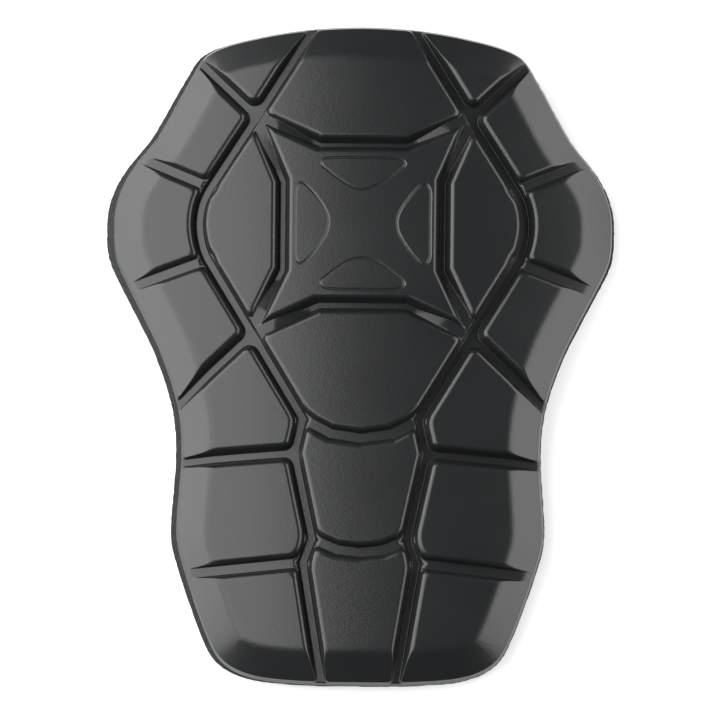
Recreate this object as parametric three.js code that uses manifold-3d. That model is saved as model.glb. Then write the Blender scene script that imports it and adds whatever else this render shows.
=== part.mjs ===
import * as THREE from 'three';
import { mergeVertices } from 'three/addons/utils/BufferGeometryUtils.js';
import Module from 'manifold-3d';

const wasm = await Module();
wasm.setup();

// Driving sizes, in millimetres. The pad is drawn laid flat, then bent over the leg:
// u runs across the leg, v runs up it, and h is the height above the outer skin.
const HALF_SPREAD = 94.5; // half the moulded face across, laid flat
const HALF_LENGTH = 122; // half the moulded face along, laid flat
const BEND_ACROSS = 340; // radius of the outer skin around the leg
const BEND_ALONG = 1200; // radius of the outer skin up the leg
const GROOVE_DEPTH = 4.5; // flex grooves between the islands of tiles
const SKIN_THICKNESS = 3.5; // moulding left under the flex grooves
const MAIN_GROOVE = 5.9; // opening of the deep grooves
const GROOVE_FLOOR = 2.7; // floor of the deep grooves
const SIDE_GROOVE = 5.5; // opening of the shallow cross grooves
const SIDE_DEPTH = 2.7; // depth of the shallow cross grooves
const STAR_GAP = 2.3; // from the star's edge to the centre lines of its grooves
const CROWN_GAP = 2.6; // from those lines to the crown tile
const CHEEK_GAP = 3; // from those lines to the tile at each side
const CHIN_GAP = 3.2; // from those lines to the tile below
const TIP_DEPTH = 1.8; // depth of the webs at the four tips of the star
const TIP_WEB = 9.5; // length of a tip web from the crossing of the grooves
const TIP_RAMP = 12; // length of the ramp from a tip web down to the groove floor
const EDGE_CHAMFER = 0.8; // broken edge along the top of every groove
const BEVEL_RUN = 12.8; // sloping border, measured in from the rim
const BEVEL_DROP = 3.9; // height that the border would fall on its way to the rim
const RIM_EDGE_RUN = 1; // broken edge around the rim, measured in from it
const RIM_EDGE_DROP = 6.1; // its lower side, below the tops of the tiles
const LINE_WIDTH = 0.6; // fine lines let into the star
const LINE_DEPTH = 0.35;
const FOAM_THICKNESS = 5; // die-cut foam bonded behind the moulding
const FOAM_SIDE = 2.6; // foam showing beyond the rim at each side
const FOAM_END = 0.4; // foam showing beyond the rim at each end
const FOAM_SHIFT = 0.85; // the foam is bonded this far off centre
const BOND_GAP = 0.3; // clearance between the two pieces
const FOOT_TRIM = 0.9; // foam flattened where it bears on the ground

const WALL_LEAN = (MAIN_GROOVE - GROOVE_FLOOR) / 2 / GROOVE_DEPTH; // draft of every wall
const FACE_THICKNESS = GROOVE_DEPTH + SKIN_THICKNESS;
const FOAM_TOP = -FACE_THICKNESS - BOND_GAP;
const REACH = 40; // how far the cutting prisms run past the skin
const OVERLAP = 0.6; // how far the islands are sunk into the skin
const CHANNEL_PAST = 1.2; // how far a cross groove runs past the centre line it joins
const STEP = 13; // longest straight stretch of a bent edge
const CELL_ALONG = 20; // mesh size up the leg
const RIM_STEPS = 84; // sides of the rim outline
const POD_STEPS = 22; // sides of each fine line
const STRAIGHT = 0.02; // sine of a turn that counts as none
const WELD = 1e-5; // points this close are one

// A place on the flat pad, as shares of its half spread and half length.
const place = (across, along) => new THREE.Vector2(across * HALF_SPREAD, along * HALF_LENGTH);
const beyond = (across, along) => Object.assign(place(across, along), { pastRim: true });
const mirrored = (p) => Object.assign(new THREE.Vector2(-p.x, p.y), { pastRim: p.pastRim });

// Right half of the rim, from the top centre round to the bottom centre.
const RIM = [
  // across, along
  [0, 1],
  [0.269, 0.988],
  [0.428, 0.968],
  [0.557, 0.944],
  [0.632, 0.915],
  [0.679, 0.862],
  [0.743, 0.775],
  [0.829, 0.66],
  [0.904, 0.592],
  [0.962, 0.525],
  [0.995, 0.45],
  [1, 0.385],
  [0.991, 0.3],
  [0.947, 0.222],
  [0.811, 0.02],
  [0.741, -0.125],
  [0.715, -0.22],
  [0.71, -0.34],
  [0.725, -0.5],
  [0.723, -0.575],
  [0.697, -0.65],
  [0.59, -0.875],
  [0.539, -0.935],
  [0.457, -0.972],
  [0.328, -0.992],
  [0, -1],
];

// Crossings and bends of the groove centre lines on the right half.
const N = {
  upperTip: place(0.42, 0.717),
  starTop: place(0.169, 0.627),
  cheekTop: place(0.31, 0.516),
  cheekLow: place(0.309, 0.246),
  lowerTip: place(0.428, 0.052),
  starBottom: place(0.171, 0.142),
  templeJoin: place(0.602, 0.5),
  bulgeTop: place(0.633, 0.448),
  bulgeMiddle: place(0.643, 0.385),
  bulgeLow: place(0.63, 0.322),
  jawJoin: place(0.607, 0.278),
  waistBend: place(0.593, -0.066),
  upperHinge: place(0.227, -0.204),
  upperHingeSide: place(0.117, -0.249),
  upperHingeMiddle: place(0, -0.262),
  crossJoin: place(0.258, -0.307),
  crossBend: place(0.571, -0.326),
  lowerHinge: place(0.186, -0.563),
  lowerHingeSide: place(0.088, -0.595),
  lowerHingeMiddle: place(0, -0.603),
  shinJoin: place(0.221, -0.634),
  // Beyond the rim: where grooves run out, and corners that only carry the islands past it.
  crownExit: beyond(0.16, 1.04),
  shoulderExit: beyond(0.745, 0.963),
  templeExit: beyond(0.979, 0.63),
  jawExit: beyond(1.02, 0.17),
  waistExit: beyond(0.809, -0.234),
  crossExit: beyond(0.809, -0.347),
  shinExit: beyond(0.809, -0.682),
  toeExit: beyond(0.136, -1.033),
  crownPeak: beyond(0, 1.08),
  shoulderPeak: beyond(0.45, 1.09),
  shoulderCorner: beyond(0.96, 0.82),
  bulgeCornerTop: beyond(1.12, 0.52),
  bulgeCornerLow: beyond(1.12, 0.28),
  hipCorner: beyond(0.95, -0.02),
  toeCorner: beyond(0.72, -1.07),
  toePeak: beyond(0, -1.08),
};

const RIGHT_ISLANDS = [
  // shoulder
  ['upperTip', 'shoulderExit', 'shoulderPeak', 'crownExit'],
  // cheek
  ['upperTip', 'templeJoin', 'bulgeTop', 'bulgeMiddle', 'bulgeLow', 'jawJoin', 'lowerTip',
    'waistBend', 'waistExit', 'hipCorner', 'bulgeCornerLow', 'bulgeCornerTop',
    'shoulderCorner', 'shoulderExit'],
  // waist
  ['lowerTip', 'upperHinge', 'crossJoin', 'crossBend', 'crossExit', 'waistExit', 'waistBend'],
  // shin
  ['crossJoin', 'lowerHinge', 'shinJoin', 'toeExit', 'toeCorner', 'crossExit', 'crossBend'],
];

// Right half of the centre island, down from the top centre.
const CENTRE_ISLAND = [
  'crownPeak', 'crownExit', 'upperTip', 'templeJoin', 'bulgeTop', 'bulgeMiddle', 'bulgeLow',
  'jawJoin', 'lowerTip', 'upperHinge', 'crossJoin', 'lowerHinge', 'shinJoin', 'toeExit',
  'toePeak',
];

// Right halves of the line loops let into the star, as points of smooth closed curves.
const POD_LINES = {
  top: [
    [0, 0.583],
    [0.11, 0.583],
    [0.148, 0.578],
    [0.163, 0.565],
    [0.137, 0.545],
    [0.055, 0.5],
    [0, 0.487],
  ],
  bottom: [
    [0, 0.279],
    [0.055, 0.268],
    [0.137, 0.223],
    [0.163, 0.203],
    [0.148, 0.189],
    [0.11, 0.184],
    [0, 0.184],
  ],
  side: [
    [0.261, 0.38],
    [0.261, 0.45],
    [0.259, 0.487],
    [0.24, 0.507],
    [0.21, 0.492],
    [0.142, 0.42],
    [0.132, 0.385],
    [0.142, 0.35],
    [0.21, 0.276],
    [0.24, 0.261],
    [0.259, 0.28],
    [0.261, 0.315],
  ],
};

// The whole anticlockwise loop of a right half that runs down from the top centre.
function closedByMirror(half) {
  const right = half.slice(1).reverse();
  const left = half.slice(1).filter((p) => p.x > 0).map(mirrored);
  return [half[0], ...left, ...right];
}

// A smooth closed curve through points, as evenly spaced points.
function smoothLoop(points, count) {
  const spots = points.map((p) => new THREE.Vector3(p.x, p.y, 0));
  const curve = new THREE.CatmullRomCurve3(spots, true, 'centripetal');
  return curve.getSpacedPoints(count).slice(0, -1).map((p) => new THREE.Vector2(p.x, p.y));
}

const leftNormal = (from, to) => {
  const d = to.clone().sub(from).normalize();
  return new THREE.Vector2(-d.y, d.x);
};

// Adds points along each edge of a loop until none is longer than STEP.
function dense(loop) {
  return loop.flatMap((edge, i) => {
    const end = loop[(i + 1) % loop.length].p;
    const parts = Math.ceil(edge.p.distanceTo(end) / STEP);
    const share = (k) => ({ p: edge.p.clone().lerp(end, k / parts), gap: edge.gap });
    return Array.from({ length: parts }, (_, k) => share(k));
  });
}

// Moves each edge of an anticlockwise loop inward by its own gap and an extra; open edges stay.
function inset(loop, extra) {
  return loop.map((corner, i) => {
    const before = loop[(i + loop.length - 1) % loop.length];
    const after = loop[(i + 1) % loop.length];
    const a = leftNormal(before.p, corner.p);
    const b = leftNormal(corner.p, after.p);
    const da = before.gap === null ? 0 : before.gap + extra;
    const db = corner.gap === null ? 0 : corner.gap + extra;
    const turn = a.cross(b);
    if (Math.abs(turn) < STRAIGHT) {
      return corner.p.clone().addScaledVector(a, (da + db) / 2);
    }
    const x = (da * b.y - db * a.y) / turn;
    const y = (db * a.x - da * b.x) / turn;
    return corner.p.clone().add(new THREE.Vector2(x, y));
  });
}

// Takes a point of the flat drawing to the pad bent around and up the leg.
function bend(flat) {
  const across = flat.x / BEND_ACROSS;
  const along = flat.y / BEND_ALONG;
  const radius = BEND_ACROSS + flat.z;
  const lift = radius * Math.cos(across) - BEND_ACROSS + BEND_ALONG;
  return new THREE.Vector3(
    radius * Math.sin(across),
    lift * Math.sin(along),
    lift * Math.cos(along) - BEND_ALONG,
  );
}

// A solid for joining and cutting, from a closed geometry.
function solidOf(geometry) {
  geometry.deleteAttribute('normal');
  geometry.deleteAttribute('uv');
  const merged = mergeVertices(geometry, WELD);
  return new wasm.Manifold(
    new wasm.Mesh({
      numProp: 3,
      vertProperties: new Float32Array(merged.attributes.position.array),
      triVerts: new Uint32Array(merged.index.array),
    }),
  );
}

// A closed solid through rings of flat points, bent. The rings have equal counts and turn
// anticlockwise about the way they follow each other. With no end outline they form a closed ring.
function bentLoft(rings, endOutline) {
  const count = rings[0].length;
  const index = [];
  const spans = endOutline ? rings.length - 1 : rings.length;
  for (let r = 0; r < spans; r++) {
    for (let i = 0; i < count; i++) {
      const j = (i + 1) % count;
      const here = r * count;
      const next = ((r + 1) % rings.length) * count;
      index.push(here + i, here + j, next + j, here + i, next + j, next + i);
    }
  }
  if (endOutline) {
    const last = (rings.length - 1) * count;
    for (const [i, j, k] of THREE.ShapeUtils.triangulateShape(endOutline, [])) {
      index.push(k, j, i, last + i, last + j, last + k);
    }
  }
  const position = rings.flat().flatMap((p) => bend(p).toArray());
  const geometry = new THREE.BufferGeometry();
  geometry.setAttribute('position', new THREE.Float32BufferAttribute(position, 3));
  geometry.setIndex(index);
  return solidOf(geometry);
}

// A bent layer between two heights, wider than the whole pad.
function layer(low, high) {
  const width = 2 * (HALF_SPREAD + BEVEL_RUN);
  const length = 2 * (HALF_LENGTH + BEVEL_RUN);
  const parts = [Math.ceil(width / STEP), Math.ceil(length / CELL_ALONG)];
  const slab = new THREE.BoxGeometry(width, length, high - low, ...parts, 1);
  slab.translate(0, 0, (low + high) / 2);
  const points = slab.attributes.position;
  for (let i = 0; i < points.count; i++) {
    const bent = bend(new THREE.Vector3().fromBufferAttribute(points, i));
    points.setXYZ(i, bent.x, bent.y, bent.z);
  }
  return solidOf(slab);
}

const atHeight = (ring, h) => ring.map((p) => new THREE.Vector3(p.x, p.y, h));

// An island of tiles: chamfered along its top, its walls lean out to the groove floor.
function island(nodes) {
  const loop = nodes.map((p, i) => {
    const open = p.pastRim && nodes[(i + 1) % nodes.length].pastRim;
    return { p, gap: open ? null : MAIN_GROOVE / 2 };
  });
  const edges = dense(loop);
  const foot = inset(edges, -WALL_LEAN * GROOVE_DEPTH);
  const edge = inset(edges, -WALL_LEAN * EDGE_CHAMFER);
  const top = inset(edges, EDGE_CHAMFER / 2);
  const rings = [
    atHeight(foot, -REACH),
    atHeight(foot, -GROOVE_DEPTH),
    atHeight(edge, -EDGE_CHAMFER),
    atHeight(top, 0),
    atHeight(top, REACH),
  ];
  return bentLoft(rings, foot);
}

function islands() {
  const right = RIGHT_ISLANDS.map((names) => names.map((name) => N[name]));
  const left = right.map((nodes) => nodes.map(mirrored).reverse());
  const centre = closedByMirror(CENTRE_ISLAND.map((name) => N[name]));
  return [centre, ...right, ...left].map(island).reduce((all, one) => all.add(one));
}

// Section of a groove, open upward, as offsets to its left and heights.
function grooveSection(left, right, depth) {
  const wall = (half) => [
    [half + EDGE_CHAMFER / 2, REACH],
    [half + EDGE_CHAMFER / 2, 0],
    [half - WALL_LEAN * EDGE_CHAMFER, -EDGE_CHAMFER],
    [half - WALL_LEAN * depth, -depth],
  ];
  const up = wall(left).reverse();
  return [...wall(right).map(([s, h]) => [-s, h]), ...up];
}

// The bent cutter of a section carried along a path; its section may change with the place.
function channel(path, sectionAt, closed) {
  const rings = path.map((p, i) => {
    const before = path[i - 1] ?? (closed ? path[path.length - 1] : null);
    const after = path[i + 1] ?? (closed ? path[0] : null);
    const a = leftNormal(before ?? p, before ? p : after);
    const b = leftNormal(after ? p : before, after ?? p);
    const across = a.add(b).divideScalar(1 + a.dot(b));
    return sectionAt(p).map(([s, h]) => {
      const spot = p.clone().addScaledVector(across, s);
      return new THREE.Vector3(spot.x, spot.y, h);
    });
  });
  const outline = sectionAt(path[0]).map(([s, h]) => new THREE.Vector2(s, h));
  return bentLoft(rings, closed ? null : outline);
}

// An open path cut at most STEP long and also at given distances from either end.
function stepped(nodes, marks) {
  const first = nodes[0];
  const last = nodes[nodes.length - 1];
  const points = nodes.slice(0, -1).flatMap((from, i) => {
    const to = nodes[i + 1];
    const length = from.distanceTo(to);
    const parts = Math.ceil(length / STEP);
    const shares = Array.from({ length: parts }, (_, k) => k / parts);
    if (from === first) shares.push(...marks.map((d) => d / length));
    if (to === last) shares.push(...marks.map((d) => 1 - d / length));
    const inside = shares.filter((s) => s >= 0 && s < 1).sort((a, b) => a - b);
    return inside.map((s) => from.clone().lerp(to, s));
  });
  return [...points, last];
}

// A path with its end run on by a length.
function runOn(nodes, length) {
  const [before, end] = nodes.slice(-2);
  const on = end.clone().sub(before).setLength(length).add(end);
  return [...nodes.slice(0, -1), on];
}

// Shallow grooves across the islands, from the rim or from side to side.
function crossGrooves() {
  const half = SIDE_GROOVE / 2;
  const section = () => grooveSection(half, half, SIDE_DEPTH);
  const toRim = [
    [N.templeExit, N.templeJoin],
    [N.jawExit, N.jawJoin],
    [N.shinExit, N.shinJoin],
  ];
  const hinges = [
    [N.upperHingeMiddle, N.upperHingeSide, N.upperHinge],
    [N.lowerHingeMiddle, N.lowerHingeSide, N.lowerHinge],
  ];
  const whole = hinges.map((right) => {
    const run = runOn(right, CHANNEL_PAST);
    return [...run.slice(1).map(mirrored).reverse(), ...run];
  });
  const side = toRim.map((path) => runOn(path, CHANNEL_PAST));
  const all = [...side, ...side.map((path) => path.map(mirrored)), ...whole];
  return all.map((path) => channel(stepped(path, []), section, false));
}

// Deep grooves around the star, shallower at the webs that tie its tips to the tiles around it.
function starGrooves() {
  const tips = [N.upperTip, N.lowerTip].flatMap((p) => [p, mirrored(p)]);
  const depthAt = (p) => {
    const fromTip = Math.min(...tips.map((tip) => tip.distanceTo(p)));
    const down = THREE.MathUtils.clamp((fromTip - TIP_WEB) / TIP_RAMP, 0, 1);
    return THREE.MathUtils.lerp(TIP_DEPTH, GROOVE_DEPTH, down);
  };
  const right = [N.upperTip, N.cheekTop, N.cheekLow, N.lowerTip];
  const top = [N.starTop, N.upperTip];
  const bottom = [N.starBottom, N.lowerTip];
  const across = (half) => [...half.map(mirrored).reverse(), ...half];
  const runs = [
    { path: right, left: CHEEK_GAP, right: STAR_GAP },
    { path: right.map(mirrored), left: STAR_GAP, right: CHEEK_GAP },
    { path: across(top), left: CROWN_GAP, right: STAR_GAP },
    { path: across(bottom), left: STAR_GAP, right: CHIN_GAP },
  ];
  const marks = [TIP_WEB, TIP_WEB + TIP_RAMP];
  return runs.map((run) => {
    const section = (p) => grooveSection(run.left, run.right, depthAt(p));
    return channel(stepped(run.path, marks), section, false);
  });
}

// Fine closed lines let into the star near the middle of each side.
function podLines() {
  const half = LINE_WIDTH / 2;
  const section = () => [
    [-half, REACH],
    [-half, -LINE_DEPTH],
    [half, -LINE_DEPTH],
    [half, REACH],
  ];
  const spots = (rows) => rows.map(([across, along]) => place(across, along));
  const side = spots(POD_LINES.side);
  const loops = [
    closedByMirror(spots(POD_LINES.top)),
    closedByMirror(spots(POD_LINES.bottom)),
    side,
    side.map(mirrored).reverse(),
  ];
  return loops.map((loop) => channel(smoothLoop(loop, POD_STEPS), section, true));
}

function rimLoop() {
  const half = RIM.map(([across, along]) => place(across, along));
  return smoothLoop(closedByMirror(half), RIM_STEPS);
}

// Everything inside the rim, its broken edge and the sloping border.
function borderEnvelope() {
  const loop = rimLoop().map((p) => ({ p, gap: 0 }));
  const rim = inset(loop, 0);
  const lip = inset(loop, RIM_EDGE_RUN);
  const crest = inset(loop, BEVEL_RUN * (1 + OVERLAP / BEVEL_DROP));
  const rings = [
    atHeight(rim, -REACH),
    atHeight(rim, -RIM_EDGE_DROP),
    atHeight(lip, -BEVEL_DROP * (1 - RIM_EDGE_RUN / BEVEL_RUN)),
    atHeight(crest, OVERLAP),
    atHeight(crest, REACH),
  ];
  return bentLoft(rings, rim);
}

// One moulding: a skin with raised islands of tiles, cross grooves and the star.
function mouldedFace() {
  const skin = layer(-FACE_THICKNESS, -GROOVE_DEPTH);
  const raised = islands().intersect(layer(-GROOVE_DEPTH - OVERLAP, 0));
  const cuts = [...crossGrooves(), ...starGrooves(), ...podLines()];
  return cuts.reduce((body, cut) => body.subtract(cut), skin.add(raised))
    .intersect(borderEnvelope());
}

// The flat foam sheet, cut a little larger than the moulding.
function foamBacking() {
  const wider = 1 + FOAM_SIDE / HALF_SPREAD;
  const longer = 1 + FOAM_END / HALF_LENGTH;
  const outline = rimLoop().map((p) => new THREE.Vector2(p.x * wider - FOAM_SHIFT, p.y * longer));
  const prism = bentLoft([atHeight(outline, -REACH), atHeight(outline, REACH)], outline);
  return prism.intersect(layer(FOAM_TOP - FOAM_THICKNESS, FOAM_TOP));
}

function geometryOf(solid) {
  const mesh = solid.getMesh();
  const geometry = new THREE.BufferGeometry();
  geometry.setAttribute('position', new THREE.Float32BufferAttribute(mesh.vertProperties, 3));
  geometry.setIndex(new THREE.Uint32BufferAttribute(mesh.triVerts, 1));
  geometry.computeVertexNormals();
  return geometry;
}

// Turn about the cross axis that brings the pad's lowest points, fore and aft, to one level.
function restTurn(geometry) {
  const at = geometry.attributes.position;
  const points = Array.from({ length: at.count }, (_, i) => [at.getY(i), at.getZ(i)]);
  points.sort((p, q) => p[0] - q[0] || p[1] - q[1]);
  const under = [];
  for (const p of points) {
    while (under.length > 1 && !isBelow(under[under.length - 1], under[under.length - 2], p)) {
      under.pop();
    }
    under.push(p);
  }
  const middle = (points[0][0] + points[points.length - 1][0]) / 2;
  const i = under.findIndex((p) => p[0] > middle);
  return -Math.atan2(under[i][1] - under[i - 1][1], under[i][0] - under[i - 1][0]);
}

const isBelow = (p, from, to) =>
  (p[1] - from[1]) * (to[0] - from[0]) < (to[1] - from[1]) * (p[0] - from[0]);

// The foam with its lowest points flattened by the pad's own weight on the ground.
function flattened(foam, turn) {
  const resting = geometryOf(foam).rotateX(turn);
  resting.computeBoundingBox();
  const size = 4 * HALF_LENGTH;
  const ground = new THREE.BoxGeometry(size, size, size);
  ground.translate(0, 0, resting.boundingBox.min.z + FOOT_TRIM - size / 2).rotateX(-turn);
  return foam.subtract(solidOf(ground));
}

const face = new THREE.Mesh(
  geometryOf(mouldedFace()),
  new THREE.MeshStandardMaterial({ color: 0x2b2d2e, roughness: 0.45, metalness: 0 }),
);
face.name = 'moulded_face';

const foamSolid = foamBacking();
const turn = restTurn(geometryOf(foamSolid));
const foam = new THREE.Mesh(
  geometryOf(flattened(foamSolid, turn)),
  new THREE.MeshStandardMaterial({ color: 0x3a3c3d, roughness: 0.95, metalness: 0 }),
);
foam.name = 'foam_backing';

// The pad lies on its rim, hollow side down, centred over the origin.
const pad = new THREE.Group();
pad.add(face, foam);
pad.rotation.x = turn;
const box = new THREE.Box3().setFromObject(pad, true);
const centre = box.getCenter(new THREE.Vector3());
pad.position.set(-centre.x, -centre.y, -box.min.z);

export default pad;
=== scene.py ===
import math

import bpy
import numpy as np
from mathutils import Matrix, Vector, noise
from mathutils.geometry import delaunay_2d_cdt


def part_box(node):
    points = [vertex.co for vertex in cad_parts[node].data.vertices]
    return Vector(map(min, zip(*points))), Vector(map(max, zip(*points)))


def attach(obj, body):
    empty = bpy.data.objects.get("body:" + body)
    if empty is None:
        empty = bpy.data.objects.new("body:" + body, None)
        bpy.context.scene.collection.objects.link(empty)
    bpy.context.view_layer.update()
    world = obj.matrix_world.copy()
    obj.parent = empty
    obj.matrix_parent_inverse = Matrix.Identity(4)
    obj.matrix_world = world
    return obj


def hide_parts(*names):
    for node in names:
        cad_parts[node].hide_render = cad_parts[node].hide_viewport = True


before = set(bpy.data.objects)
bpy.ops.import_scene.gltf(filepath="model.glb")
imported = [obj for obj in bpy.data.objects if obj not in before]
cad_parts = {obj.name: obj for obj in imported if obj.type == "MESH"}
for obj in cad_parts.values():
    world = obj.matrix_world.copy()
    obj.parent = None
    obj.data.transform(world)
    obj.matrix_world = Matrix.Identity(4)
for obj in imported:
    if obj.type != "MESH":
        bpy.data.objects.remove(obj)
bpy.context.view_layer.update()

MM = 0.001

# Driving sizes of the pad in millimetres, as in the part's source. It is drawn laid flat, u across
# the leg and v up it, then bent over the leg; h is the height above the outer skin.
HALF_SPREAD = 94.5
HALF_LENGTH = 122.0
BEND_ACROSS = 340.0
BEND_ALONG = 1200.0
GROOVE_DEPTH = 4.5
FACE_THICKNESS = 8.0
MAIN_GROOVE = 5.9
GROOVE_FLOOR = 2.7
SIDE_GROOVE = 5.5
SIDE_DEPTH = 2.7
STAR_GAP = 2.3
CROWN_GAP = 2.6
CHEEK_GAP = 3.0
CHIN_GAP = 3.2
TIP_DEPTH = 1.8
TIP_WEB = 9.5
TIP_RAMP = 12.0
BEVEL_RUN = 12.8
BEVEL_DROP = 3.9
RIM_EDGE_DROP = 6.1
LINE_DEPTH = 0.35
FOAM_THICKNESS = 5.0
FOAM_SIDE = 2.6
FOAM_END = 0.4
FOAM_SHIFT = 0.85
BOND_GAP = 0.3
REST_TURN = math.radians(1.826)  # the pad tips this far when it lies on its foam edge

# Roundings that the source leaves to this script, in millimetres.
EDGE_RADIUS = 2.1  # along the top edges of the grooves
FLOOR_ROUND = 0.8  # along the foot of their walls
CREST_ROUND = 0.5  # where tile tops turn down into the border
RIM_ROUND = 1.4  # around the outer edge
RIM_LEDGE = 0.9  # between that edge and the foot of the tiles
CORNER_RADIUS = 2.2  # tile corners, seen from above
MOUTH_ROUND = 2.4  # tile corners where a shallow groove opens
RIM_CORNER = 1.5  # tile corners at the rim
LINE_HALF = 0.6  # half of a fine line with its rounded lips

WALL_LEAN = (MAIN_GROOVE - GROOVE_FLOOR) / 2 / GROOVE_DEPTH
FAR = 99.0  # stands for a distance that is too long to matter
RIM_STEPS = 12  # points of a smooth curve from one named point to the next
COARSE_STEPS = 6
POD_STEPS = 6
BULGE_STEPS = 5

RIM = [  # right half of the rim, as shares of the half spread and half length
    (0, 1), (0.269, 0.988), (0.428, 0.968), (0.557, 0.944), (0.632, 0.915), (0.679, 0.862),
    (0.743, 0.775), (0.829, 0.66), (0.904, 0.592), (0.962, 0.525), (0.995, 0.45), (1, 0.385),
    (0.991, 0.3), (0.947, 0.222), (0.811, 0.02), (0.741, -0.125), (0.715, -0.22),
    (0.71, -0.34), (0.725, -0.5), (0.723, -0.575), (0.697, -0.65), (0.59, -0.875),
    (0.539, -0.935), (0.457, -0.972), (0.328, -0.992), (0, -1),
]

NODES = {  # crossings and bends of the groove centre lines on the right half
    "upperTip": (0.42, 0.717),
    "starTop": (0.169, 0.627),
    "cheekTop": (0.31, 0.516),
    "cheekLow": (0.309, 0.246),
    "lowerTip": (0.428, 0.052),
    "starBottom": (0.171, 0.142),
    "templeJoin": (0.602, 0.5),
    "bulgeTop": (0.633, 0.448),
    "bulgeMiddle": (0.643, 0.385),
    "bulgeLow": (0.63, 0.322),
    "jawJoin": (0.607, 0.278),
    "waistBend": (0.593, -0.066),
    "upperHinge": (0.227, -0.204),
    "upperHingeSide": (0.117, -0.249),
    "upperHingeMiddle": (0, -0.262),
    "crossJoin": (0.258, -0.307),
    "crossBend": (0.571, -0.326),
    "lowerHinge": (0.186, -0.563),
    "lowerHingeSide": (0.088, -0.595),
    "lowerHingeMiddle": (0, -0.603),
    "shinJoin": (0.221, -0.634),
}
PAST_RIM = {  # where grooves run out, and corners that carry the islands past the rim
    "crownExit": (0.16, 1.04),
    "shoulderExit": (0.745, 0.963),
    "templeExit": (0.979, 0.63),
    "jawExit": (1.02, 0.17),
    "waistExit": (0.809, -0.234),
    "crossExit": (0.809, -0.347),
    "shinExit": (0.809, -0.682),
    "toeExit": (0.136, -1.033),
    "crownPeak": (0, 1.08),
    "shoulderPeak": (0.45, 1.09),
    "shoulderCorner": (0.96, 0.82),
    "bulgeCornerTop": (1.12, 0.52),
    "bulgeCornerLow": (1.12, 0.28),
    "hipCorner": (0.95, -0.02),
    "toeCorner": (0.72, -1.07),
    "toePeak": (0, -1.08),
}
RIGHT_ISLANDS = [
    ["upperTip", "shoulderExit", "shoulderPeak", "crownExit"],
    ["upperTip", "bulge", "lowerTip", "waistBend", "waistExit", "hipCorner",
     "bulgeCornerLow", "bulgeCornerTop", "shoulderCorner", "shoulderExit"],
    ["lowerTip", "upperHinge", "crossJoin", "crossBend", "crossExit", "waistExit", "waistBend"],
    ["crossJoin", "lowerHinge", "shinJoin", "toeExit", "toeCorner", "crossExit", "crossBend"],
]
CENTRE_ISLAND = [  # its right half, down from the top centre
    "crownPeak", "crownExit", "upperTip", "bulge", "lowerTip", "upperHinge", "crossJoin",
    "lowerHinge", "shinJoin", "toeExit", "toePeak",
]
POD_LINES = {  # line loops let into the star; the top and bottom ones are right halves
    "top": [(0, 0.583), (0.11, 0.583), (0.148, 0.578), (0.163, 0.565), (0.137, 0.545),
            (0.055, 0.5), (0, 0.487)],
    "bottom": [(0, 0.279), (0.055, 0.268), (0.137, 0.223), (0.163, 0.203), (0.148, 0.189),
               (0.11, 0.184), (0, 0.184)],
    "side": [(0.261, 0.38), (0.261, 0.45), (0.259, 0.487), (0.24, 0.507), (0.21, 0.492),
             (0.142, 0.42), (0.132, 0.385), (0.142, 0.35), (0.21, 0.276), (0.24, 0.261),
             (0.259, 0.28), (0.261, 0.315)],
}

PLACES = NODES | PAST_RIM
FLAT_SIZE = np.array([HALF_SPREAD, HALF_LENGTH])
MIRROR = np.array([-1.0, 1.0])


def places(shares):
    return np.array(shares, float) * FLAT_SIZE


def closed_by_mirror(half):
    """The whole anticlockwise loop of a right half that runs down from the top centre."""
    left = [p * MIRROR for p in half[1:] if p[0] > 0]
    return np.array([half[0], *left, *half[:0:-1]])


def smooth_loop(points, steps):
    """A smooth closed curve through points, with so many steps from one to the next."""
    rows = []
    for i in range(len(points)):
        p = [points[(i + k) % len(points)] for k in (-1, 0, 1, 2)]
        knots = np.cumsum([0.0] + [math.dist(p[k], p[k + 1]) ** 0.5 for k in range(3)])
        for t in np.linspace(knots[1], knots[2], steps, endpoint=False):
            row, span = list(p), 1
            while len(row) > 1:
                ends = [(knots[k], knots[k + span]) for k in range(len(row) - 1)]
                row = [
                    ((high - t) * row[k] + (t - low) * row[k + 1]) / (high - low)
                    for k, (low, high) in enumerate(ends)
                ]
                span += 1
            rows.append(row[0])
    return np.array(rows)


BULGE = ["upperTip", "templeJoin", "bulgeTop", "bulgeMiddle", "bulgeLow", "jawJoin", "lowerTip"]
BULGE_LOOP = smooth_loop(places([PLACES[name] for name in BULGE]), BULGE_STEPS)
BULGE_CURVE = BULGE_LOOP[BULGE_STEPS : (len(BULGE) - 2) * BULGE_STEPS + 1]


def spots(names):
    """Flat places of named points; the bulge is the smooth curve between its end points."""
    rows = [BULGE_CURVE if name == "bulge" else places([PLACES[name]]) for name in names]
    return np.vstack(rows)


def left_normals(loop):
    run = np.roll(loop, -1, axis=0) - loop
    run /= np.linalg.norm(run, axis=1)[:, None]
    return np.column_stack([-run[:, 1], run[:, 0]])


def inset(loop, gaps):
    """Moves each edge of an anticlockwise loop inward by its own gap."""
    after = left_normals(loop)
    before = np.roll(after, 1, axis=0)
    gap_before = np.roll(gaps, 1)
    turn = before[:, 0] * after[:, 1] - before[:, 1] * after[:, 0]
    x = (gap_before * after[:, 1] - gaps * before[:, 1]) / turn
    y = (gaps * before[:, 0] - gap_before * after[:, 0]) / turn
    return loop + np.column_stack([x, y])


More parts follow.
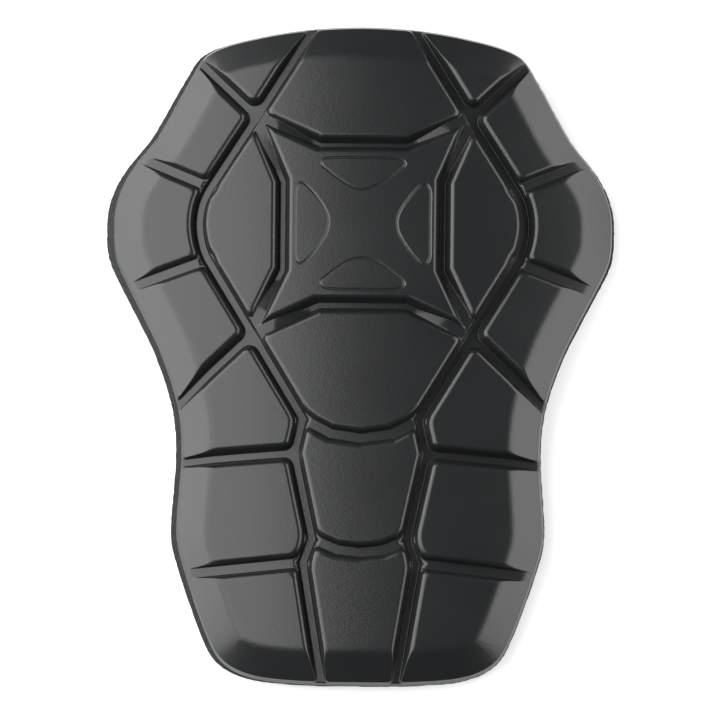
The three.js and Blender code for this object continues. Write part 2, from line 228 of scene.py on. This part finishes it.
def island_cores():
    """Outlines of the islands, drawn in by half a groove and a corner radius."""
    loops = [(closed_by_mirror(spots(CENTRE_ISLAND)), None)]
    loops += [(spots(names), names) for names in RIGHT_ISLANDS]
    cores = []
    for loop, names in loops:
        past = np.array([is_past_rim(p) for p in loop])
        open_edges = past & np.roll(past, -1)
        gaps = np.where(open_edges, CORNER_RADIUS, MAIN_GROOVE / 2 + CORNER_RADIUS)
        core = inset(loop, gaps)
        cores.append(core)
        if names:
            cores.append((core * MIRROR)[::-1])
    return cores


def is_past_rim(point):
    shares = np.abs(point) * [1, 0] + point * [0, 1]
    return any(np.allclose(shares, np.array(p) * FLAT_SIZE) for p in PAST_RIM.values())


def inside_distance(points, loop):
    """How far flat points lie inside a closed loop; negative outside it."""
    x, y = points[:, 0], points[:, 1]
    nearest = np.full(len(points), np.inf)
    inside = np.zeros(len(points), bool)
    for a, b in zip(loop, np.roll(loop, -1, axis=0)):
        run = b - a
        along = np.clip(((x - a[0]) * run[0] + (y - a[1]) * run[1]) / (run @ run), 0, 1)
        gap = (x - a[0] - along * run[0]) ** 2 + (y - a[1] - along * run[1]) ** 2
        nearest = np.minimum(nearest, gap)
        if a[1] != b[1]:
            crossing = a[0] + (y - a[1]) * run[0] / run[1]
            inside ^= ((a[1] > y) != (b[1] > y)) & (x < crossing)
    return np.where(inside, 1, -1) * np.sqrt(nearest)


def path_distance(points, path, left, right):
    """Distance from an open path less the half width on the side where each point lies."""
    nearest = np.full(len(points), np.inf)
    margin = np.zeros(len(points))
    for a, b in zip(path, path[1:]):
        run = b - a
        rel = points - a
        along = np.clip(rel @ run / (run @ run), 0, 1)
        gap = np.hypot(rel[:, 0] - along * run[0], rel[:, 1] - along * run[1])
        side = run[0] * rel[:, 1] - run[1] * rel[:, 0]
        closer = gap < nearest
        nearest = np.where(closer, gap, nearest)
        margin = np.where(closer, np.where(side > 0, left, right), margin)
    return nearest - margin


def near(points, loop, reach):
    """Which points lie within reach of a loop's box."""
    low, high = loop.min(0) - reach, loop.max(0) + reach
    return ((points > low) & (points < high)).all(1)


def soft_min(a, b, reach):
    close = np.clip(1 - np.abs(a - b) / reach, 0, None)
    return np.minimum(a, b) - close**2 * reach / 4


def soft_max(a, b, reach):
    return -soft_min(-a, -b, reach)


RIM_LOOP = smooth_loop(closed_by_mirror(places(RIM)), RIM_STEPS)
RIM_COARSE = RIM_LOOP[::COARSE_STEPS]
ISLAND_CORES = island_cores()
TIPS = np.array([p * m for p in spots(["upperTip", "lowerTip"]) for m in ((1, 1), (-1, 1))])


def cross_paths():
    """Centre lines of the shallow grooves across the islands."""
    to_rim = [["templeExit", "templeJoin"], ["jawExit", "jawJoin"], ["shinExit", "shinJoin"]]
    hinges = [
        ["upperHingeMiddle", "upperHingeSide", "upperHinge"],
        ["lowerHingeMiddle", "lowerHingeSide", "lowerHinge"],
    ]
    right = [spots(names) for names in to_rim + hinges]
    return right + [path * MIRROR for path in right]


def star_paths():
    """Centre lines of the grooves around the star, with their half widths to left and right."""
    side = spots(["upperTip", "cheekTop", "cheekLow", "lowerTip"])
    top = spots(["starTop", "upperTip"])
    bottom = spots(["starBottom", "lowerTip"])
    return [
        (side, CHEEK_GAP, STAR_GAP),
        (side * MIRROR, STAR_GAP, CHEEK_GAP),
        (np.vstack([(top * MIRROR)[::-1], top]), CROWN_GAP, STAR_GAP),
        (np.vstack([(bottom * MIRROR)[::-1], bottom]), STAR_GAP, CHIN_GAP),
    ]


def pod_loops():
    side = smooth_loop(places(POD_LINES["side"]), POD_STEPS)
    top = smooth_loop(closed_by_mirror(places(POD_LINES["top"])), POD_STEPS)
    bottom = smooth_loop(closed_by_mirror(places(POD_LINES["bottom"])), POD_STEPS)
    return [top, bottom, side, side * MIRROR]


CROSS_PATHS = cross_paths()
STAR_PATHS = star_paths()
POD_LOOPS = pod_loops()


def distances(points):
    """Signed distances at flat points to everything that shapes the relief."""
    d = {"rim": inside_distance(points, RIM_COARSE)}
    band = (d["rim"] > -3) & (d["rim"] < BEVEL_RUN + 4)  # the fine rim counts only here
    d["rim"][band] = inside_distance(points[band], RIM_LOOP)
    d["main"] = np.full(len(points), -FAR)
    for core in ISLAND_CORES:
        k = near(points, core, MAIN_GROOVE)
        reach = inside_distance(points[k], core) + CORNER_RADIUS
        d["main"][k] = np.maximum(d["main"][k], reach)
    cross = np.full(len(points), FAR)
    for path in CROSS_PATHS:
        k = near(points, path, 2 * SIDE_GROOVE)
        gap = path_distance(points[k], path, SIDE_GROOVE / 2, SIDE_GROOVE / 2)
        cross[k] = np.minimum(cross[k], gap)
    star = np.full(len(points), FAR)
    for path, left, right in STAR_PATHS:
        k = near(points, path, 2 * SIDE_GROOVE)
        star[k] = np.minimum(star[k], path_distance(points[k], path, left, right))
    ledge = RIM_LEDGE + WALL_LEAN * GROOVE_DEPTH
    d["main"] = soft_min(d["main"], d["rim"] - ledge, RIM_CORNER)
    d["cross"] = soft_min(cross, d["main"], MOUTH_ROUND)
    d["star"] = soft_min(star, d["main"], MOUTH_ROUND)
    from_tip = np.min([np.hypot(*(points - tip).T) for tip in TIPS], axis=0)
    down = np.clip((from_tip - TIP_WEB) / TIP_RAMP, 0, 1)
    d["web"] = TIP_DEPTH + (GROOVE_DEPTH - TIP_DEPTH) * down
    d["line"] = np.full(len(points), -FAR)
    for loop in POD_LOOPS:
        k = near(points, loop, 4)
        d["line"][k] = np.maximum(d["line"][k], inside_distance(points[k], loop))
    return d


WALL_ANGLE = math.atan2(1, WALL_LEAN)
EDGE_START = EDGE_RADIUS * math.tan(WALL_ANGLE / 2)  # where a tile top begins to turn down


def groove(distance, floor):
    """A flat top, a round edge, a straight wall and a floor."""
    past = np.clip(EDGE_START - distance, 0, EDGE_RADIUS * math.sin(WALL_ANGLE))
    edge = np.sqrt(EDGE_RADIUS**2 - past**2) - EDGE_RADIUS
    on_wall = EDGE_START - distance > EDGE_RADIUS * math.sin(WALL_ANGLE)
    wall = np.where(on_wall, distance / WALL_LEAN, edge)
    return soft_max(wall, floor, FLOOR_ROUND)


def skin_floor(rim):
    """The skin under the islands, turned down around the outer edge."""
    edge = np.clip(1 - rim / RIM_ROUND, 0, 1)
    return -GROOVE_DEPTH - (RIM_EDGE_DROP - GROOVE_DEPTH) * edge**2


def heights(d):
    """Heights of the grooves by kind, of the border, and of the whole relief."""
    h = {
        "floor": skin_floor(d["rim"]),
        "cross": groove(d["cross"], -SIDE_DEPTH),
        "star": groove(d["star"], -d["web"]),
        "border": BEVEL_DROP * (d["rim"] / BEVEL_RUN - 1),
    }
    h["main"] = groove(d["main"], h["floor"])
    h["tiles"] = np.minimum(np.minimum(h["main"], h["cross"]), h["star"])
    line = LINE_DEPTH * np.clip(1 - (d["line"] / LINE_HALF) ** 2, 0, 1) ** 2
    h["face"] = soft_min(h["border"], h["tiles"], CREST_ROUND) - line
    return h


def bend(u, v, h):
    """Takes flat places and heights to the pad bent around and up the leg."""
    across, along = u / BEND_ACROSS, v / BEND_ALONG
    radius = BEND_ACROSS + h
    lift = radius * np.cos(across) - BEND_ACROSS + BEND_ALONG
    return np.column_stack(
        [radius * np.sin(across), lift * np.sin(along), lift * np.cos(along) - BEND_ALONG]
    )


GRID_STEP = 0.5  # of the grid that the lines of the relief are found on
GRID_SHIFT = (0.013, 0.017)  # keeps its points off the straight edges of the drawing
MAX_EDGE = 4.0
BACK_SPACING = 12.0  # of mesh points on the plain back of the face
FOAM_SPACING = 7.0
LINE_SLACK = 0.015  # how far a line of the mesh may lie off the true one
SNAP = 0.02


def contour(field, level, xs, ys, active):
    """Polylines where a field on a grid passes a level, in cells that are active.

    The joins name the sides of a cell that a line runs between, left, right, bottom and top,
    by which of its corners lie above the level.
    """
    above = field > level
    cells = above[:-1, :-1] * 1 + above[:-1, 1:] * 2 + above[1:, 1:] * 4 + above[1:, :-1] * 8
    live = (cells > 0) & (cells < 15)
    live &= active[:-1, :-1] | active[1:, 1:] | active[:-1, 1:] | active[1:, :-1]
    joins = {
        1: ["LB"], 2: ["BR"], 3: ["LR"], 4: ["RT"], 5: ["LB", "RT"], 6: ["BT"], 7: ["LT"],
        8: ["LT"], 9: ["BT"], 10: ["BR", "LT"], 11: ["RT"], 12: ["LR"], 13: ["BR"], 14: ["LB"],
    }
    links = {}
    for j, i in zip(*np.nonzero(live)):
        sides = {
            "B": (0, j, i), "T": (0, j + 1, i), "L": (1, j, i), "R": (1, j, i + 1),
        }
        for pair in joins[int(cells[j, i])]:
            a, b = sides[pair[0]], sides[pair[1]]
            links.setdefault(a, []).append(b)
            links.setdefault(b, []).append(a)

    def spot(key):
        upright, j, i = key
        a = field[j, i]
        b = field[j + 1, i] if upright else field[j, i + 1]
        share = (level - a) / (b - a)
        if upright:
            return xs[i], ys[j] + share * GRID_STEP
        return xs[i] + share * GRID_STEP, ys[j]

    lines = []
    while links:
        ends = [k for k, v in links.items() if len(v) == 1]
        starts = ends or [next(iter(links))]
        for start in starts:
            if start not in links:
                continue
            line = [start]
            while line[-1] in links and links[line[-1]]:
                here = line[-1]
                there = links[here].pop()
                links[there].remove(here)
                if not links[here]:
                    del links[here]
                line.append(there)
            if line[-1] in links and not links[line[-1]]:
                del links[line[-1]]
            if len(line) > 2:
                lines.append(np.array([spot(k) for k in line]))
    return lines


def simplified(line, slack):
    """Fewer points on a line, none more than slack off it, and no stretch too long."""
    keep = {0, len(line) - 1}
    if np.allclose(line[0], line[-1]):
        keep.add(len(line) // 2)
    marks = sorted(keep)
    todo = list(zip(marks, marks[1:]))
    while todo:
        a, b = todo.pop()
        if b - a < 2:
            continue
        run = line[b] - line[a]
        rel = line[a + 1 : b] - line[a]
        off = np.abs(run[0] * rel[:, 1] - run[1] * rel[:, 0]) / max(np.hypot(*run), 1e-9)
        worst = int(off.argmax())
        if off[worst] > slack:
            middle = a + 1 + worst
            keep.add(middle)
            todo += [(a, middle), (middle, b)]
    kept = line[sorted(keep)]
    rows = [kept[:1]]
    for a, b in zip(kept, kept[1:]):
        parts = max(1, math.ceil(math.dist(a, b) / MAX_EDGE))
        rows.append(a + (b - a) * (np.arange(1, parts + 1) / parts)[:, None])
    return np.vstack(rows)


def relief_lines():
    """Lines of the flat drawing that the mesh follows: rounded edges, feet, ramps and crests."""
    reach = FLAT_SIZE + 2
    xs = np.arange(-reach[0], reach[0], GRID_STEP) + GRID_SHIFT[0]
    ys = np.arange(-reach[1], reach[1], GRID_STEP) + GRID_SHIFT[1]
    grid = np.stack(np.meshgrid(xs, ys), -1).reshape(-1, 2)
    shape = (len(ys), len(xs))
    d = {k: f.reshape(shape) for k, f in distances(grid).items()}
    h = heights(d)
    everywhere = np.ones(shape, bool)
    under_crest = h["border"] > h["tiles"] - CREST_ROUND
    lines = []

    def add(field, levels, active):
        for level in levels:
            found = contour(field, level, xs, ys, active)
            lines.extend(simplified(line, LINE_SLACK) for line in found)

    add(d["rim"], [0.0], everywhere)
    add(d["rim"], RIM_ROUND * np.array([0.15, 0.35, 0.6, 0.8, 1.0]), everywhere)
    add(d["rim"], [4.0, 8.0], everywhere)
    crest = CREST_ROUND * np.array([-1.1, -0.5, 0, 0.5, 1.1])
    add(h["border"] - h["tiles"], crest, everywhere)
    turns = np.radians([0, 10, 22, 36, 50, 62]) * WALL_ANGLE / math.radians(65)
    ends = [EDGE_START + 0.04, EDGE_START - EDGE_RADIUS * math.sin(WALL_ANGLE) - 0.02]
    top = [*ends, *(EDGE_START - EDGE_RADIUS * np.sin(turns))]
    foot = FLOOR_ROUND * np.array([1.06, 0.45, 0, -0.45, -1.06])  # just past the round
    own = {
        "main": (d["main"] <= d["cross"] + 0.01) & (d["main"] <= d["star"] + 0.01),
        "cross": d["cross"] < d["main"] - 0.01,
        "star": d["star"] < d["main"] - 0.01,
    }
    floors = {"main": h["floor"], "cross": -SIDE_DEPTH, "star": -d["web"]}
    for kind, active in own.items():
        lowest = h[kind] <= h["tiles"] + 0.02
        add(d[kind], top, active & under_crest)
        add(d[kind] / WALL_LEAN - floors[kind], foot, lowest & under_crest)
    for kind in ("cross", "star"):
        both = (h[kind] < -0.3) & (h["main"] < -0.3) & under_crest
        add(h[kind] - h["main"], [0.0], both)
    lips = LINE_HALF * np.array([-1.1, -0.75, -0.4, 0, 0.4, 0.75, 1.1])
    add(d["line"], lips, d["line"] > -4)
    return lines


def filled(lines, spacing, keep):
    """Triangles over the flat places where keep holds, following the given lines."""
    points, edges = [], []
    index = {}
    for line in lines:
        before = None
        for p in line:
            key = tuple(np.round(p / SNAP).astype(int))
            if key not in index:
                index[key] = len(points)
                points.append(key)
            if before is not None and before != index[key]:
                edges.append((before, index[key]))
            before = index[key]
    taken = {(round(x * SNAP / spacing * 2), round(y * SNAP / spacing * 2)) for x, y in points}
    reach = FLAT_SIZE + 4
    for row, y in enumerate(np.arange(-reach[1], reach[1], spacing * 0.866)):
        for x in np.arange(-reach[0] + spacing / 2 * (row % 2), reach[0], spacing):
            cell = (round(x / spacing * 2), round(y / spacing * 2))
            if cell not in taken:
                points.append((x / SNAP, y / SNAP))
    vectors = [Vector((x * SNAP, y * SNAP)) for x, y in points]
    verts, _, faces, *_ = delaunay_2d_cdt(vectors, edges, [], 0, 1e-4)
    flat = np.array([tuple(p) for p in verts])
    tris = np.array(faces)
    tris = tris[keep(flat[tris].mean(1))]
    corner = flat[tris]
    run, rise = corner[:, 1] - corner[:, 0], corner[:, 2] - corner[:, 0]
    area = run[:, 0] * rise[:, 1] - run[:, 1] * rise[:, 0]
    tris[area < 0] = tris[area < 0][:, ::-1]
    tris = tris[np.abs(area) > 1e-6]
    used, back = np.unique(tris, return_inverse=True)
    return flat[used], back.reshape(-1, 3)


def boundary_loop(tris):
    """The outer edge of a flat mesh as vertex numbers, in order."""
    sides = {(int(t[k]), int(t[(k + 1) % 3])) for t in tris for k in range(3)}
    onward = {a: b for a, b in sides if (b, a) not in sides}
    loop = [min(onward)]
    while onward[loop[-1]] != loop[0]:
        loop.append(onward[loop[-1]])
    return np.array(loop)


class Shell:
    """A closed mesh put together from flat sheets and strips."""

    def __init__(self):
        self.points = []
        self.faces = []
        self.count = 0

    def add(self, points):
        first = self.count
        self.points.append(points)
        self.count += len(points)
        return np.arange(first, self.count)

    def sheet(self, points, tris, downward=False):
        ids = self.add(points)
        self.faces += (ids[tris][:, ::-1] if downward else ids[tris]).tolist()
        return ids

    def strip(self, upper, lower):
        """Quads between two rings of vertex numbers, upper one first, facing out."""
        turned = np.roll(upper, -1), np.roll(lower, -1)
        self.faces += np.column_stack([lower, turned[1], turned[0], upper]).tolist()

    def object(self, name, place):
        mesh = bpy.data.meshes.new(name)
        mesh.from_pydata((place(np.vstack(self.points)) * MM).tolist(), [], self.faces)
        mesh.validate()
        mesh.shade_smooth()
        made = bpy.data.objects.new(name, mesh)
        bpy.context.scene.collection.objects.link(made)
        return made


def turned(points):
    c, s = math.cos(REST_TURN), math.sin(REST_TURN)
    return points @ np.array([[1, 0, 0], [0, c, s], [0, -s, c]])


def resting_offset(face_points):
    """Moves the pad so that its face fills the face of the frame."""
    low, high = (np.array(corner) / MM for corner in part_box("moulded_face"))
    mine_low, mine_high = face_points.min(0), face_points.max(0)
    middle = (low + high) / 2 - (mine_low + mine_high) / 2
    return np.array([middle[0], middle[1], high[2] - mine_high[2]])


def face_normals(flat):
    """True normals of the relief at flat places, for shading that no triangle shows in."""
    step = 0.03

    def surface(shift):
        moved = flat + shift
        return bend(moved[:, 0], moved[:, 1], heights(distances(moved))["face"])

    along_u = surface([step, 0]) - surface([-step, 0])
    along_v = surface([0, step]) - surface([0, -step])
    normals = np.cross(along_u, along_v)
    return normals / np.linalg.norm(normals, axis=1)[:, None]


CRISP_BAND = 0.3  # a ring of points so far above the back keeps its corner crisp


def moulded_face():
    """The moulding: its relief, the edge around it and its plain back."""
    flat, tris = filled(relief_lines(), MAX_EDGE, lambda p: inside_distance(p, RIM_LOOP) > 0)
    d = distances(flat)
    d["rim"] = np.clip(d["rim"], 0, None)
    h = heights(d)["face"]
    shell = Shell()
    top = shell.sheet(bend(flat[:, 0], flat[:, 1], h), tris)
    loop = boundary_loop(tris)
    rim = flat[loop]
    above = top[loop]
    for height in (CRISP_BAND - FACE_THICKNESS, -FACE_THICKNESS):
        ring = shell.add(bend(rim[:, 0], rim[:, 1], height))
        shell.strip(above, ring)
        above = ring
    edge = np.vstack([rim, rim[:1]])
    back, back_tris = filled([edge], BACK_SPACING, lambda p: inside_distance(p, rim) > 0)
    shell.sheet(bend(back[:, 0], back[:, 1], -FACE_THICKNESS), back_tris, downward=True)
    offset = resting_offset(turned(np.vstack(shell.points)))
    made = shell.object("moulded_face_skin", lambda p: turned(p) + offset)
    normals = np.zeros((shell.count, 3))
    smooth = d["rim"] > 0.1
    normals[: len(flat)][smooth] = turned(face_normals(flat[smooth]))
    made.data.normals_split_custom_set_from_vertices(normals.tolist())
    return made, offset


FOAM_RINGS = 9  # down the cut edge of the foam
CUT_ROUGHNESS = 0.22
CUT_ROUND = 0.25  # how far its top and bottom corners draw in


def torn_cells(x, y, height):
    """Unevenness of the cut foam at a place on its edge: large cells with small ones."""
    large = noise.noise(Vector((x * 0.7, y * 0.7, height * 0.9)))
    small = noise.noise(Vector((x * 2.1, y * 2.1, height * 2.3)))
    return large + small * 0.5


def foam_backing(offset):
    """The die-cut foam sheet, its cut edge rough with opened cells."""
    wider = np.array([1 + FOAM_SIDE / HALF_SPREAD, 1 + FOAM_END / HALF_LENGTH])
    outline = RIM_LOOP * wider - [FOAM_SHIFT, 0]
    outward = -left_normals(outline)
    shell = Shell()
    top_height = -FACE_THICKNESS - BOND_GAP
    before = None
    for share in np.linspace(0, 1, FOAM_RINGS):
        height = top_height - share * FOAM_THICKNESS
        rough = np.array([torn_cells(x, y, height) for x, y in outline])
        edge = CUT_ROUND * (2 * share - 1) ** 8
        ring_flat = outline + outward * (CUT_ROUGHNESS * rough - edge)[:, None]
        ring = shell.add(bend(ring_flat[:, 0], ring_flat[:, 1], height))
        if before is not None:
            shell.strip(before, ring)
        before = ring
        if share in (0, 1):
            closed = np.vstack([ring_flat, ring_flat[:1]])
            flat, tris = filled([closed], FOAM_SPACING, lambda p: inside_distance(p, ring_flat) > 0)
            shell.sheet(bend(flat[:, 0], flat[:, 1], height), tris, downward=share == 1)

    def lying(points):
        placed = turned(points) + offset
        placed[:, 2] = np.maximum(placed[:, 2], 0)
        return placed

    return shell.object("foam_backing_sheet", lying)


def linear(hex_colour):
    """An sRGB hex value as linear colour with full cover."""
    parts = [int(hex_colour[i : i + 2], 16) / 255 for i in (1, 3, 5)]
    curve = [c / 12.92 if c <= 0.04045 else ((c + 0.055) / 1.055) ** 2.4 for c in parts]
    return (*curve, 1.0)


def node(tree, kind, inputs=None, **settings):
    """Adds a shader node with its settings, input values and links."""
    made = tree.nodes.new("ShaderNode" + kind)
    for name, value in settings.items():
        setattr(made, name, value)
    for name, value in (inputs or {}).items():
        if isinstance(value, bpy.types.NodeSocket):
            tree.links.new(value, made.inputs[name])
        else:
            made.inputs[name].default_value = value
    return made


def new_material(name):
    material = bpy.data.materials.new(name)
    material.use_nodes = True
    material.node_tree.nodes.clear()
    return material, material.node_tree


def moulded_skin():
    """Closed skin of moulded foam rubber: black, satin, with the fine grain of the mould.

    The grain is too fine for the photo to show, so it is drawn coarser here. The haze makes
    broad, faint patches that are a little lighter and duller.
    """
    material, tree = new_material("moulded_rubber_skin")
    where = node(tree, "TexCoord").outputs["Object"]
    grain = node(tree, "TexNoise", {"Vector": where, "Scale": 1 / (0.9 * MM), "Detail": 2.0})
    haze = node(tree, "TexNoise", {"Vector": where, "Scale": 1 / (26 * MM), "Detail": 3.0})
    tone = node(tree, "ValToRGB", {"Fac": haze.outputs["Fac"]})
    tone.color_ramp.elements[0].color = linear("#18191a")
    tone.color_ramp.elements[1].color = linear("#1d1e1f")
    dull = node(
        tree, "MapRange", {"Value": haze.outputs["Fac"], "To Min": 0.27, "To Max": 0.32},
    )
    bumps = node(
        tree, "Bump",
        {"Height": grain.outputs["Fac"], "Strength": 0.3, "Distance": 0.12 * MM},
    )
    shader = node(
        tree, "BsdfPrincipled",
        {
            "Base Color": tone.outputs["Color"],
            "Roughness": dull.outputs["Result"],
            "Normal": bumps.outputs["Normal"],
            "IOR": 1.5,
        },
    )
    node(tree, "OutputMaterial", {"Surface": shader.outputs["BSDF"]})
    return material


def cut_foam():
    """Closed-cell foam, die-cut: charcoal, dull, its opened cells a coarse pattern of pits, with
    painted shade: the colour is darker down in each pit and lighter on its rim, in step with the
    bump.
    """
    material, tree = new_material("die_cut_foam_with_painted_pit_shade")
    where = node(tree, "TexCoord").outputs["Object"]
    cells = node(tree, "TexVoronoi", {"Vector": where, "Scale": 1 / (0.55 * MM)})
    # painted shade: the colour darkens towards each cell's centre, where the bump below sinks a
    # pit, and lightens on its rim
    tone = node(tree, "ValToRGB", {"Fac": cells.outputs["Distance"]})
    tone.color_ramp.elements[0].color = linear("#1b1c1d")
    tone.color_ramp.elements[1].color = linear("#3f4142")
    bumps = node(
        tree, "Bump",
        {"Height": cells.outputs["Distance"], "Strength": 0.6, "Distance": 0.4 * MM},
    )
    shader = node(
        tree, "BsdfPrincipled",
        {
            "Base Color": tone.outputs["Color"],
            "Roughness": 0.92,
            "Normal": bumps.outputs["Normal"],
            "IOR": 1.45,
        },
    )
    node(tree, "OutputMaterial", {"Surface": shader.outputs["BSDF"]})
    return material


# The photograph, 720 px square: where the pad's middle lies in it and how large it is.
IMAGE_PX = 720
MM_PER_PX = 0.364
PAD_PX = (361.5, 358.3)
PAD_V = -2.4  # the place along the pad that lies there
PAD_H = -5.0
CAMERA_DISTANCE = 2200.0
CAMERA_TIP = math.radians(7.0)  # from the pad's normal there, towards its narrow end
CAMERA_ROLL = 0.0098
SENSOR_MM = 36.0


def camera(offset):
    """A long lens that looks down on the pad as the photograph does."""
    tip = CAMERA_TIP - PAD_V / BEND_ALONG
    back = np.array([0, -math.sin(tip), math.cos(tip)])
    up = np.array([0, math.cos(tip), math.sin(tip)])
    side = np.array([1.0, 0, 0])
    c, s = math.cos(CAMERA_ROLL), math.sin(CAMERA_ROLL)
    right, upward = c * side + s * up, c * up - s * side
    aim = bend(np.array([0.0]), np.array([PAD_V]), PAD_H)[0]
    aim = aim - right * (PAD_PX[0] - IMAGE_PX / 2) * MM_PER_PX
    aim = aim + upward * (PAD_PX[1] - IMAGE_PX / 2) * MM_PER_PX
    place = turned((aim + back * CAMERA_DISTANCE)[None])[0] + offset
    axes = [turned(axis[None])[0] for axis in (right, upward, back)]
    data = bpy.data.cameras.new("camera")
    data.sensor_width = SENSOR_MM
    data.lens = SENSOR_MM * CAMERA_DISTANCE / (MM_PER_PX * IMAGE_PX)
    data.clip_end = 20
    made = bpy.data.objects.new("camera", data)
    made.matrix_world = Matrix.Translation(Vector(place * MM)) @ Matrix(np.array(axes).T).to_4x4()
    bpy.context.scene.collection.objects.link(made)
    bpy.context.scene.camera = made


# Softboxes, in metres.
LIGHT_DISTANCE = 0.9
LIGHT_LENGTH = 1.35  # along the pad
LIGHT_SHIFT = 0.2  # towards its wide end


def softbox(name, angle_deg, across, brightness, swing_deg=0.0):
    """A rectangular light to one side of the pad, at an angle from overhead, facing it."""
    angle = math.radians(angle_deg)
    data = bpy.data.lights.new(name, "AREA")
    data.shape = "RECTANGLE"
    data.size, data.size_y = across, LIGHT_LENGTH
    data.energy = brightness * across * LIGHT_LENGTH * math.pi
    made = bpy.data.objects.new(name, data)
    x, z = LIGHT_DISTANCE * math.sin(angle), LIGHT_DISTANCE * math.cos(angle)
    place = Vector((x, LIGHT_SHIFT, z))
    facing = Matrix.Rotation(angle, 4, "Y") @ Matrix.Rotation(math.radians(swing_deg), 4, "Z")
    made.matrix_world = Matrix.Translation(place) @ facing
    bpy.context.scene.collection.objects.link(made)


def studio():
    """A pale floor, two softboxes to the left, one above the other, and one on the right."""
    softbox("left_high_softbox", -29, 0.63, 3.75, swing_deg=8)
    softbox("left_low_softbox", -64, 0.52, 5.4)
    softbox("right_softbox", 58, 0.55, 4.0)
    world = bpy.data.worlds.new("studio")
    world.use_nodes = True
    world.node_tree.nodes["Background"].inputs["Color"].default_value = (1, 1, 1, 1)
    world.node_tree.nodes["Background"].inputs["Strength"].default_value = 0.03
    bpy.context.scene.world = world
    bpy.context.scene.view_settings.view_transform = "Standard"
    mesh = bpy.data.meshes.new("floor")
    half = 3.0
    mesh.from_pydata(
        [(-half, -half, 0), (half, -half, 0), (half, half, 0), (-half, half, 0)],
        [], [(0, 1, 2, 3)],
    )
    floor = bpy.data.objects.new("floor", mesh)
    material, tree = new_material("pale_paper_floor")
    shader = node(
        tree, "BsdfPrincipled",
        {
            "Base Color": linear("#eeeeee"),
            "Roughness": 0.9,
            "Emission Color": linear("#ffffff"),
            "Emission Strength": 0.35,
        },
    )
    node(tree, "OutputMaterial", {"Surface": shader.outputs["BSDF"]})
    mesh.materials.append(material)
    bpy.context.scene.collection.objects.link(floor)


def dress(piece, node_name, material):
    piece.data.materials.append(material)
    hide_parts(node_name)
    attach(piece, "root")


face, pad_offset = moulded_face()
dress(face, "moulded_face", moulded_skin())
foam = foam_backing(pad_offset)
dress(foam, "foam_backing", cut_foam())
camera(pad_offset)
studio()
